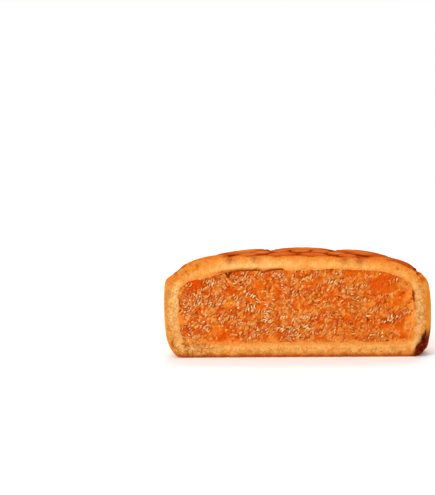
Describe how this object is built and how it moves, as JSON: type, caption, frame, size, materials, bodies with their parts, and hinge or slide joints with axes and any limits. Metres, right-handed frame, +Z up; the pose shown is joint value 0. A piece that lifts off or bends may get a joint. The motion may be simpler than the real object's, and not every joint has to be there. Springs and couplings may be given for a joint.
{
  "type": "half of a round moulded pineapple cake",
  "caption": "Half of a round fluted pastry cake with a moulded flower on top, cut through its thick pineapple filling.",
  "frame": {"origin": "middle of the half's box seen from above, on the surface that it rests on", "axes": "+X to the right along the cut, +Y away from the cut face towards the round back, +Z up"},
  "size_m": [0.0682, 0.0362, 0.0262],
  "materials": {
    "crust": "baked golden dough, glazed red-brown on the moulded top",
    "filling": "moist orange pineapple paste with glossy fibres"
  },
  "bodies": {
    "root": {"crust": "crust", "filling": "filling"}
  },
  "joints": []
}
